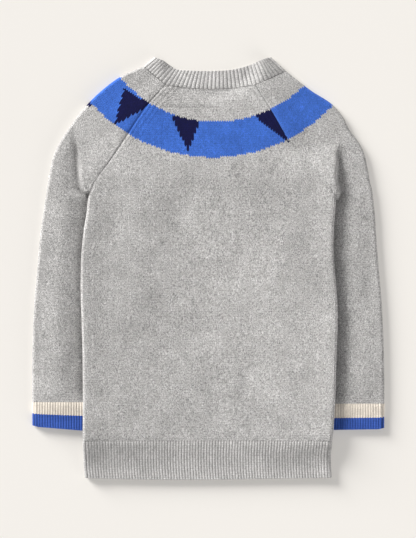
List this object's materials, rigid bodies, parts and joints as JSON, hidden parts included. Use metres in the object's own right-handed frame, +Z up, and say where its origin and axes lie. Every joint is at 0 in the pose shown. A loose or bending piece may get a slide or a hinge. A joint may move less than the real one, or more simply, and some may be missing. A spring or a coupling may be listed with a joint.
{
  "type": "pullover sweater",
  "caption": "Child's raglan crew-neck pullover in grey melange knit with a blue yoke band, ribbed trims and striped cuffs, laid flat back up.",
  "frame": {"origin": "centre of the bounding box in plan, on the surface the sweater lies on", "axes": "+Y from hem to neck, +X to the viewer's right with the back up, +Z up"},
  "size_m": [0.3694, 0.4432, 0.0145],
  "materials": {
    "grey_knit": "plain grey melange knit with a knitted-in blue yoke band",
    "grey_rib": "ribbed grey melange knit",
    "cuff_rib": "ribbed knit, cream above blue"
  },
  "bodies": {
    "root": {"back": "grey_knit", "front": "grey_knit", "sleeve_left": "grey_knit", "sleeve_right": "grey_knit", "neckband": "grey_rib", "hem_back": "grey_rib", "hem_front": "grey_rib", "cuff_left": "cuff_rib", "cuff_right": "cuff_rib"}
  },
  "joints": []
}
